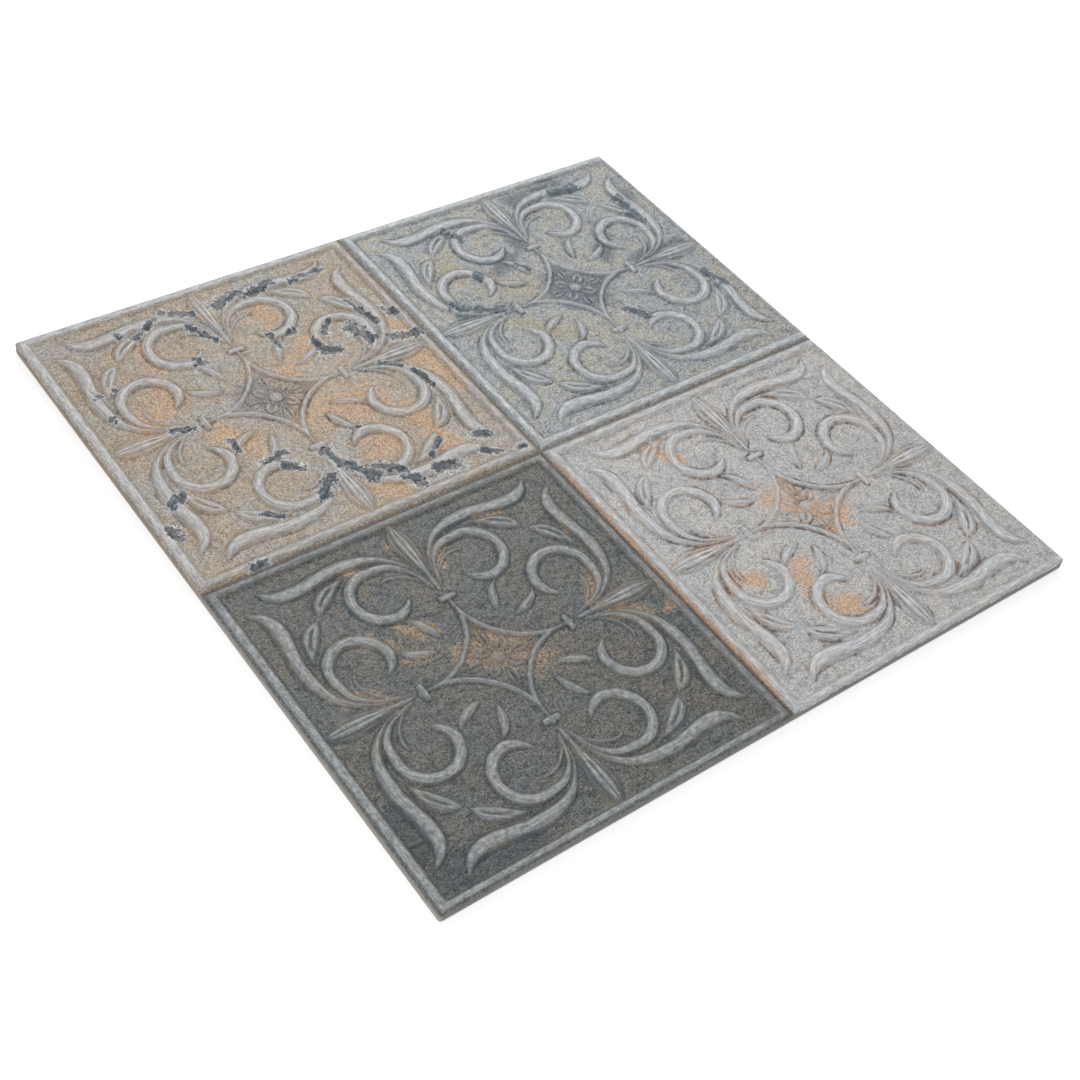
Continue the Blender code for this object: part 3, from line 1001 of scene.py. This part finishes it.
# Sand: a worn sand and peach satin glaze, over which a slate coat is left only as flakes.
SAND = Glaze(
    name="glazed_porcelain_sand", seed=4,
    ground="#a79985", ground_other="#a3a29c", speck="#928370", crown="#929291", crown_other="#a39482",
    ridge_glaze_and_highlight="#d1d2d4", rim="#b9b6b2",
    pool_and_shade="#474f55", pool_and_shade_other="#886d55", score="#463a2f", warm="#bf9b76",
    flake="#202d36", flake_thin="#68757c", fringe="#c9cccf", wash="#77787a",
    crown_tint_and_shade_cover=0.65, ridge_glaze_and_highlight_cover=0.62, rim_cover=0.6, pool_and_shade_cover=0.58, halo_shade_cover=0.12, speck_cover=0.8,
    grit=0.6,
    grit_warm=0.22, bare_inner_rim=0.8,
    warm_patches=(
        Patch(10, -12, 34, -20, 16), Patch(22, -48, 28, -46, 9), Patch(48, -34, 50, -62, 9),
        Patch(8, -66, 16, -72, 9), Patch(22, 52, 26, 46, 9), Patch(-40, 22, -56, 10, 10),
        Patch(-32, -8, -24, -22, 9), Patch(70, 24, 76, 12, 6), Patch(70, -4, 78, -30, 8),
        Patch(10, 10, 34, 24, 9), Patch(-36, 56, -38, 40, 5), Patch(-6, 68, 4, 56, 5),
    ),
    flake_patches=(
        Patch(7, 66, 20, 69, 4), Patch(24, 66, 38, 69, 3), Patch(46, 65, 64, 67, 2),
        Patch(-17, 72, -6, 66, 2.5), Patch(-42, 66, -42, 66, 3), Patch(-36, 61, -22, 69, 2),
        Patch(-11, 58, -4, 44, 2), Patch(-18, 35, -18, 35, 4), Patch(-67, 35, -67, 35, 2.5),
        Patch(-59, 36, -59, 36, 2), Patch(-67, 19, -67, 19, 2.5), Patch(-49, 1, -40, -1, 2),
        Patch(18, 37, 18, 28, 2), Patch(26, 34, 30, 34, 2), Patch(34, 24, 34, 17, 2.5),
        Patch(35, 16, 41, 14, 3), Patch(41, 27, 47, 33, 2), Patch(54, 24, 58, 14, 4.5),
        Patch(62, 42, 67, 22, 2), Patch(68, 11, 79, 7, 3), Patch(75, 28, 79, 24, 3),
        Patch(52, -3, 60, -8, 2), Patch(63, -13, 66, -26, 1.8), Patch(-24, -33, -14, -31, 2.5),
        Patch(-18, -37, -13, -42, 3), Patch(-31, -14, -30, -22, 2), Patch(-70, -36, -64, -34, 3.5),
        Patch(-77, -48, -76, -52, 3), Patch(1, -38, 3, -46, 3), Patch(4, -48, 12, -62, 4),
        Patch(-13, -61, -5, -53, 3.5), Patch(17, -58, 24, -64, 3), Patch(24, -68, 27, -73, 3.5),
        Patch(38, -70, 47, -72, 3.5), Patch(64, -61, 68, -62, 3), Patch(61, -70, 67, -74, 2.2),
        Patch(77, -77, 77, -77, 3), Patch(-58, -82, -54, -82, 3), Patch(-40, -58, -35, -63, 2),
        Patch(40, -62, 48, -56, 2), Patch(22, -33, 22, -33, 2),
    ),
    wash_patches=(Patch(-5, 5, 1, -3, 14),),
)


class Place(Enum):
    """Where a panel lies on the tile, as the signs of its centre's X and Y."""

    NEAR = (-1, -1)
    RIGHT = (1, -1)
    FAR = (1, 1)
    LEFT = (-1, 1)


@dataclass
class GlazedPanel:
    """One quarter of the tile's face, from the glaze's lower edge up to the relief."""

    place: Place
    relief: Relief
    glaze: Glaze
    glaze_line: float = 4.5
    hammered: float = 0.05
    lump_size: float = 1.9
    halo_shade_cells: float = 6.0
    crease_cells: float = 1.6
    ridge_cells: float = 5.0
    score_line: float = 0.5
    edge_pooling: float = 1.2

    def build(self) -> bpy.types.Object:
        """Builds the panel and gives it its glaze.

        Returns:
            The finished piece.
        """
        piece = self.shell()
        self.press(piece)
        piece.data.materials.append(self.glaze.material())
        for face in piece.data.polygons:
            face.material_index = 0
        bpy.ops.object.select_all(action="DESELECT")
        piece.select_set(True)
        bpy.context.view_layer.objects.active = piece
        bpy.ops.object.shade_smooth_by_angle(angle=math.radians(50))
        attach(piece, BODY)
        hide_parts(NODE)
        LOG.info("%s: %d faces", piece.name, len(piece.data.polygons))
        return piece

    def shell(self) -> bpy.types.Object:
        """Makes a closed box with a fine grid on top, from a grid whose edge is drawn down and capped.

        Returns:
            The box, in its place.
        """
        half = self.relief.half_side * MM
        sign_x, sign_y = self.place.value
        bpy.ops.object.select_all(action="DESELECT")
        bpy.ops.mesh.primitive_grid_add(
            x_subdivisions=self.relief.cells,
            y_subdivisions=self.relief.cells,
            size=2 * half,
            location=(sign_x * half, sign_y * half, self.relief.field_height * MM),
        )
        piece = bpy.context.object
        piece.name = f"panel_{self.place.name.lower()}"
        bpy.ops.object.transform_apply(location=True, rotation=True, scale=True)
        bpy.ops.object.mode_set(mode="EDIT")
        bpy.ops.mesh.select_all(action="SELECT")
        bpy.ops.mesh.region_to_loop()
        drop = (self.glaze_line - self.relief.field_height) * MM
        bpy.ops.mesh.extrude_region_move(TRANSFORM_OT_translate={"value": (0, 0, drop)})
        bpy.ops.mesh.edge_face_add()
        bpy.ops.mesh.poke()
        bpy.ops.mesh.select_all(action="SELECT")
        bpy.ops.mesh.normals_make_consistent(inside=False)
        bpy.ops.object.mode_set(mode="OBJECT")
        return piece

    def press(self, piece: bpy.types.Object) -> None:
        """Presses the relief into the shell's grid and notes what the glaze does at each point.

        Args:
            piece: The shell, whose top is still flat and evenly spaced.
        """
        relief = self.relief
        signs = self.place.value
        mesh = piece.data
        points = np.empty(len(mesh.vertices) * 3, dtype=np.float64)
        mesh.vertices.foreach_get("co", points)
        points = points.reshape(-1, 3)
        centre = np.array(signs) * relief.half_side
        local = points[:, :2] / MM - centre
        spacing = 2 * relief.half_side / relief.cells
        column = np.rint((local[:, 0] + relief.half_side) / spacing).astype(int).clip(0, relief.cells)
        row = np.rint((local[:, 1] + relief.half_side) / spacing).astype(int).clip(0, relief.cells)
        x, y = relief.corner_rounded(signs)
        base = relief.base_level(signs)
        level = self.level(base)
        top = points[:, 2] > (self.glaze_line + relief.field_height) / 2 * MM
        points[:, 0] = x[column, row] * MM
        points[:, 1] = y[column, row] * MM
        points[:, 2] = np.where(top, level[column, row], self.glaze_line) * MM
        middle = np.argmin(np.hypot(local[:, 0], local[:, 1]) + 1000 * top)
        points[middle] = (centre[0] * MM, centre[1] * MM, self.glaze_line * MM)
        mesh.vertices.foreach_set("co", points.ravel())
        for name, parts in self.notes(base).items():
            self.store(mesh, name, tuple(part[column, row] for part in parts))
        mesh.update()

    def level(self, base: np.ndarray) -> np.ndarray:
        """Adds the ornament, the groove at its foot and the hammered grain to the panel.

        Args:
            base: The panel without its ornament.

        Returns:
            Levels above the back, in millimetres.
        """
        relief = self.relief
        x, y = np.meshgrid(relief.lines, relief.lines, indexing="ij")
        stand = relief.crown
        rim = smooth_step(base, relief.field_height + 0.5, relief.rim_height - 0.1)
        foot = np.exp(-(np.clip(relief.gap, 0, None) / relief.foot_width) ** 2) * (stand <= 0.02)
        level = np.maximum(base, relief.field_height + stand) - relief.foot_groove * foot * (rim < 0.9)
        lumps = soft_noise(x, y, self.lump_size, self.glaze.seed)
        lumps += 0.6 * soft_noise(x, y, self.lump_size * 2.3, self.glaze.seed + 10)
        inset = relief.half_side - np.maximum(np.abs(x), np.abs(y))
        calm = 1 - 0.75 * smooth_step(stand, 0.1, 0.8)
        calm *= 0.35 + 0.65 * smooth_step(inset, 2.0, relief.foot_inset)
        calm *= smooth_step(inset, 0.0, 2.0)
        level += self.hammered * lumps * calm
        return np.clip(level, relief.bare_height, relief.rim_height + 0.02)

    def notes(self, base: np.ndarray) -> dict[str, tuple[np.ndarray, np.ndarray, np.ndarray]]:
        """Notes for the glaze what lies at each point of the panel.

        Args:
            base: The panel without its ornament.

        Returns:
            For each attribute's name, three grids. "relief" holds the ridges with their painted highlight,
            the dark glaze in the creases with its painted shade, and the rims, which fall below 0 in the
            score. "patches" holds the flakes, the warm stains and the wash. "grain" holds the distances
            across and along each form or rim, and where they are.
        """
        relief = self.relief
        signs = self.place.value
        x, y = np.meshgrid(relief.lines, relief.lines, indexing="ij")
        stand = relief.crown
        inset = relief.half_side - np.maximum(np.abs(x), np.abs(y))
        to_edge = relief.half_side - np.maximum(signs[0] * x, signs[1] * y)
        to_score = np.minimum(relief.half_side + signs[0] * x, relief.half_side + signs[1] * y)
        # Dark glaze gathered in the creases, deepened as painted shade, and a soft painted shade round the
        # forms; the dark line at the glaze's lower edge is the glaze's own.
        pooling_and_shade = self.pooling_and_shade(stand, base)
        beside_rim = 1 - smooth_step(inset, relief.foot_inset + 1, relief.foot_inset + 3)
        pooling_and_shade *= 1 - 0.6 * beside_rim * (stand < 0.02)
        pooling_and_shade *= smooth_step(to_edge, 2.5, relief.crest_inset + 0.5)
        pooling_and_shade = np.where(to_edge < relief.edge_spacing / 2, self.edge_pooling, pooling_and_shade)
        near_score = 1 - smooth_step(to_score, relief.foot_inset, 2 * relief.foot_inset)
        bare = self.glaze.bare_inner_rim * near_score
        # Paler thin glaze on the ridges, partly a painted highlight.
        ridge_glaze_and_highlight = self.ridges(stand, base) * (1 - 0.5 * bare)
        rim = smooth_step(base, relief.field_height + 0.5, relief.rim_height - 0.1)
        rim = np.where(to_edge < relief.crest_inset, 1.0, rim) * (1 - bare)
        score = 1 - smooth_step(to_score, self.score_line, 2 * self.score_line)
        rim = np.where(score > 0, -score, rim)
        on_rim = smooth_step(base, relief.field_height + 0.3, relief.rim_height - 0.3)
        only_rim = (on_rim > 0) & (stand < relief.rim_height - relief.field_height - 0.2)
        across = np.where(only_rim, inset, relief.across)
        along = np.where(only_rim, np.where(np.abs(x) > np.abs(y), y, x), relief.along)
        crown = np.maximum(smooth_step(stand, 0.12, 0.55), on_rim)
        glaze = self.glaze
        patches = (glaze.flake_patches, glaze.warm_patches, glaze.wash_patches)
        return {
            "relief": (ridge_glaze_and_highlight, pooling_and_shade, rim),
            "patches": tuple(self.patch_cover(group, x, y) for group in patches),
            "grain": (across, along, crown),
        }

    def pooling_and_shade(self, stand: np.ndarray, base: np.ndarray) -> np.ndarray:
        """How much dark glaze and painted shade lie at each point: sharp lines of gathered glaze and
        painted shade in creases, a softer painted shade round them.

        Args:
            stand: The ornament's height above the field.
            base: The panel without its ornament.

        Returns:
            Cover from 0 to about 1.
        """
        smooth = np.maximum(base, self.relief.field_height + stand)
        crease = blurred(smooth, self.crease_cells) - smooth
        shade_halo = blurred(smooth, self.halo_shade_cells) - smooth
        line = smooth_step(crease, 0.035, 0.13)
        # A soft painted shade round the raised forms.
        soft = smooth_step(shade_halo, 0.05, 0.55)
        return np.maximum(line, self.glaze.halo_shade_cover * soft)

    def ridges(self, stand: np.ndarray, base: np.ndarray) -> np.ndarray:
        """Where the pressed face is highest and most convex, from 0 to 1.

        Args:
            stand: The ornament's height above the field.
            base: The panel without its ornament.

        Returns:
            Cover for the thin glaze of the ridges and for the painted highlight on them.
        """
        smooth = np.maximum(base, self.relief.field_height + stand)
        narrow = smooth - blurred(smooth, self.ridge_cells)
        high = smooth - self.relief.field_height
        return 0.6 * smooth_step(narrow, 0.05, 0.38) + 0.4 * smooth_step(high, 0.7, 1.35)

    @staticmethod
    def patch_cover(patches: tuple[Patch, ...], x: np.ndarray, y: np.ndarray) -> np.ndarray:
        """Finds the deepest cover of any patch at each point.

        Args:
            patches: The patches of one kind.
            x: Places across from the panel's centre, in millimetres.
            y: Places up from it.

        Returns:
            Cover from 1 down to -1, where there is no patch near.
        """
        cover = np.full_like(x, -1.0)
        for patch in patches:
            cover = np.maximum(cover, patch.cover(x, y))
        return cover

    @staticmethod
    def store(mesh: bpy.types.Mesh, name: str, parts: tuple[np.ndarray, ...]) -> None:
        """Keeps three numbers for each point as one vector attribute."""
        layer = mesh.attributes.new(name, "FLOAT_VECTOR", "POINT")
        layer.data.foreach_set("vector", np.stack(parts, axis=1).astype(np.float32).ravel())


@dataclass(frozen=True)
class FiredBody:
    """Unglazed fired porcelain: matt, cut straight, scuffed, and darker under the glaze's edge.

    To the eye it is a dull grey clay, paler on one side, partly as painted light, and stained brown on part
    of it.
    """

    grey: tuple[str, str] = ("#71706e", "#83827e")
    pale: tuple[str, str] = ("#8d867f", "#aba59e")
    tan: tuple[str, str] = ("#887969", "#a69787")
    lip: str = "#4c4a47"
    scuff: str = "#3a3a3a"

    def material(self) -> bpy.types.Material:
        """Builds the body's material.

        Returns:
            A material on object coordinates.
        """
        made = bpy.data.materials.new("fired_porcelain_body")
        made.use_nodes = True
        tree = made.node_tree
        shader = tree.nodes["Principled BSDF"]
        source = add(tree, "ShaderNodeTexCoord", {}, {})
        place = add(tree, "ShaderNodeMapping", {}, {
            "Vector": source.outputs["Object"], "Scale": (1 / MM, 1 / MM, 1 / MM),
        }).outputs[0]
        colour = self.scuffed(tree, place, self.clay(tree, place))
        tree.links.new(colour, shader.inputs["Base Color"])
        grain = add(tree, "ShaderNodeTexNoise", {}, {"Vector": place, "Scale": 1 / 0.7, "Detail": 3.0})
        bump = add(tree, "ShaderNodeBump", {}, {
            "Height": grain.outputs[0], "Distance": 0.08 * MM, "Strength": 0.7,
        })
        tree.links.new(bump.outputs[0], shader.inputs["Normal"])
        shader.inputs["Roughness"].default_value = 0.8
        shader.inputs["IOR"].default_value = 1.5
        return made

    def clay(self, tree: Tree, place: Socket) -> Socket:
        """Colours the clay: grey all round, but pale and then tan along the side towards -X, which is
        lighter partly as painted light from that side.

        Args:
            tree: The material's nodes.
            place: The place in millimetres.

        Returns:
            The clay's colour.
        """
        apart = add(tree, "ShaderNodeSeparateXYZ", {}, {0: place})
        cloud = add(tree, "ShaderNodeTexNoise", {}, {"Vector": place, "Scale": 1 / 12, "Detail": 5.0})
        tints = []
        for dark, light in (self.grey, self.pale, self.tan):
            tint = add(tree, "ShaderNodeMix", COLOUR, {
                0: cloud.outputs[0], 6: linear(dark), 7: linear(light),
            })
            tints.append(tint.outputs[2])
        grey, pale, tan = tints
        stained = add(tree, "ShaderNodeMapRange", EASED, {
            "Value": apart.outputs[1], "From Min": -5.0, "From Max": 15.0,
        })
        # The side towards -X is lighter than the grey partly as painted light, and tan where stained.
        left_side = add(tree, "ShaderNodeMix", COLOUR, {0: stained.outputs[0], 6: pale, 7: tan})
        left = add(tree, "ShaderNodeMapRange", EASED, {
            "Value": apart.outputs[0], "From Min": -166.3, "From Max": -165.0, "To Min": 1.0, "To Max": 0.0,
        })
        return add(tree, "ShaderNodeMix", COLOUR, {
            0: left.outputs[0], 6: grey, 7: left_side.outputs[2],
        }).outputs[2]

    def scuffed(self, tree: Tree, place: Socket, colour: Socket) -> Socket:
        """Darkens the lip under the glaze and adds dark scuffs, most of them near the lip.

        Args:
            tree: The material's nodes.
            place: The place in millimetres.
            colour: The clay's colour.

        Returns:
            The colour with both.
        """
        apart = add(tree, "ShaderNodeSeparateXYZ", {}, {0: place})
        lip = add(tree, "ShaderNodeMapRange", EASED, {
            "Value": apart.outputs[2], "From Min": 3.0, "From Max": 4.5, "To Max": 0.4,
        })
        lipped = add(tree, "ShaderNodeMix", COLOUR, {0: lip.outputs[0], 6: colour, 7: linear(self.lip)})
        scuff = add(tree, "ShaderNodeTexNoise", {}, {
            "Vector": place, "Scale": 1 / 5, "Detail": 6.0, "Roughness": 0.7,
        })
        top = add(tree, "ShaderNodeMapRange", {}, {
            "Value": apart.outputs[2], "From Min": 2.4, "From Max": 4.2, "To Min": -0.1, "To Max": 0.08,
        })
        total = add(tree, "ShaderNodeMath", {"operation": "ADD"}, {0: scuff.outputs[0], 1: top.outputs[0]})
        dark = add(tree, "ShaderNodeMapRange", EASED, {
            "Value": total.outputs[0], "From Min": 0.62, "From Max": 0.68, "To Max": 0.8,
        })
        mixed = add(tree, "ShaderNodeMix", COLOUR, {
            0: dark.outputs[0], 6: lipped.outputs[2], 7: linear(self.scuff),
        })
        return mixed.outputs[2]


@dataclass
class BareBody:
    """The unglazed body under the four panels: the side that shows, and the flat back."""

    side: float = 333.0
    height: float = 4.5
    corner_radius: float = 1.5
    corner_segments: int = 5
    arris: float = 0.12
    finish: FiredBody = FiredBody()

    def build(self) -> bpy.types.Object:
        """Builds the body.

        Returns:
            The finished piece.
        """
        bpy.ops.object.select_all(action="DESELECT")
        bpy.ops.mesh.primitive_cube_add(size=1.0, location=(0, 0, self.height / 2 * MM))
        piece = bpy.context.object
        piece.name = "body_side_and_back"
        piece.scale = (self.side * MM, self.side * MM, self.height * MM)
        bpy.ops.object.transform_apply(location=True, rotation=True, scale=True)
        self.bevel_edges(piece, self.corner_radius, self.corner_segments, upright=True)
        self.bevel_edges(piece, self.arris, 2, upright=False)
        piece.data.materials.append(self.finish.material())
        bpy.ops.object.shade_smooth_by_angle(angle=math.radians(40))
        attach(piece, BODY)
        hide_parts(NODE)
        LOG.info("%s: %d faces", piece.name, len(piece.data.polygons))
        return piece

    @staticmethod
    def bevel_edges(piece: bpy.types.Object, width: float, segments: int, upright: bool) -> None:
        """Bevels the four upright corners, or the edges round the back.

        Args:
            piece: The body.
            width: The bevel's width in millimetres.
            segments: How many faces it gets.
            upright: True for the corners, False for the back's edges.
        """
        for edge in piece.data.edges:
            a, b = (piece.data.vertices[v].co for v in edge.vertices)
            stands = abs(a.z - b.z) > 1e-6
            at_back = max(a.z, b.z) < 1e-6
            edge.select = stands if upright else at_back
        bpy.ops.object.mode_set(mode="EDIT")
        bpy.ops.mesh.select_mode(type="EDGE")
        bpy.ops.mesh.bevel(offset=width * MM, segments=segments, profile=0.5, affect="EDGES")
        bpy.ops.object.mode_set(mode="OBJECT")


@dataclass
class Studio:
    """A pale floor, soft light and the camera at the photograph's angle."""

    floor_side: float = 6.0
    floor_colour: str = "#f4f4f4"
    floor_glow: float = 0.42
    key_place: tuple[float, float, float] = (-0.7, -0.6, 1.5)
    key_side: float = 0.8
    key_power: float = 9.5
    back_place: tuple[float, float, float] = (0.7, 1.1, 1.2)
    back_side: float = 0.7
    back_power: float = 8.5
    surround: str = "#f7f8fa"
    surround_strength: float = 0.5
    lens: float = 55.318
    shift_x: float = 0.0343
    shift_y: float = -0.0060
    camera_place: tuple[float, float, float] = (-0.37429, -0.37551, 0.50705)
    camera_turn: tuple[float, float, float, float] = (0.890184, 0.329268, -0.171536, -0.264064)

    def build(self) -> None:
        """Makes the floor, the lights and the camera."""
        self.floor()
        self.light("key_light", self.key_place, self.key_side, self.key_power)
        self.light("back_light", self.back_place, self.back_side, self.back_power)
        world = bpy.data.worlds.new("studio")
        world.use_nodes = True
        shade = world.node_tree.nodes["Background"]
        shade.inputs["Color"].default_value = linear(self.surround)
        shade.inputs["Strength"].default_value = self.surround_strength
        bpy.context.scene.world = world
        self.camera()
        bpy.context.scene.view_settings.view_transform = "Standard"

    def floor(self) -> None:
        """Lays a matt white light table just under the tile, whose own glow keeps shadows faint."""
        bpy.ops.object.select_all(action="DESELECT")
        bpy.ops.mesh.primitive_plane_add(size=self.floor_side, location=(0, 0, -0.0002))
        plane = bpy.context.object
        plane.name = "floor"
        bpy.ops.object.transform_apply(location=True, rotation=True, scale=True)
        made = bpy.data.materials.new("matt_white_light_table")
        made.use_nodes = True
        shader = made.node_tree.nodes["Principled BSDF"]
        shader.inputs["Base Color"].default_value = linear(self.floor_colour)
        shader.inputs["Roughness"].default_value = 0.9
        shader.inputs["Emission Color"].default_value = linear(self.floor_colour)
        shader.inputs["Emission Strength"].default_value = self.floor_glow
        plane.data.materials.append(made)

    @staticmethod
    def light(name: str, place: tuple[float, float, float], size: float, power: float) -> None:
        """Adds one soft square light that points at the tile.

        Args:
            name: The light's name.
            place: Where it hangs, in metres.
            size: Its side in metres.
            power: Its power in watts.
        """
        lamp = bpy.data.lights.new(name, "AREA")
        lamp.shape = "SQUARE"
        lamp.size = size
        lamp.energy = power
        held = bpy.data.objects.new(name, lamp)
        held.location = place
        held.rotation_euler = (-Vector(place)).to_track_quat("-Z", "Y").to_euler()
        bpy.context.scene.collection.objects.link(held)

    def camera(self) -> None:
        """Places the camera where the photograph was taken from."""
        seen = bpy.data.cameras.new("camera")
        seen.sensor_width = 36.0
        seen.lens = self.lens
        seen.shift_x = self.shift_x
        seen.shift_y = self.shift_y
        held = bpy.data.objects.new("camera", seen)
        held.rotation_mode = "QUATERNION"
        held.location = self.camera_place
        held.rotation_quaternion = Quaternion(self.camera_turn)
        bpy.context.scene.collection.objects.link(held)
        bpy.context.scene.camera = held


def main() -> None:
    """Builds the studio, the body and the four panels."""
    logging.basicConfig(level=logging.INFO, format="%(name)s: %(message)s")
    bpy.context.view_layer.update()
    Studio().build()
    BareBody().build()
    relief = Relief()
    for place, glaze, hammered in (
        (Place.NEAR, SLATE, 0.13),
        (Place.RIGHT, ASH, 0.07),
        (Place.FAR, STONE, 0.07),
        (Place.LEFT, SAND, 0.07),
    ):
        GlazedPanel(place, relief, glaze, hammered=hammered).build()


if __name__ == "__main__":
    main()
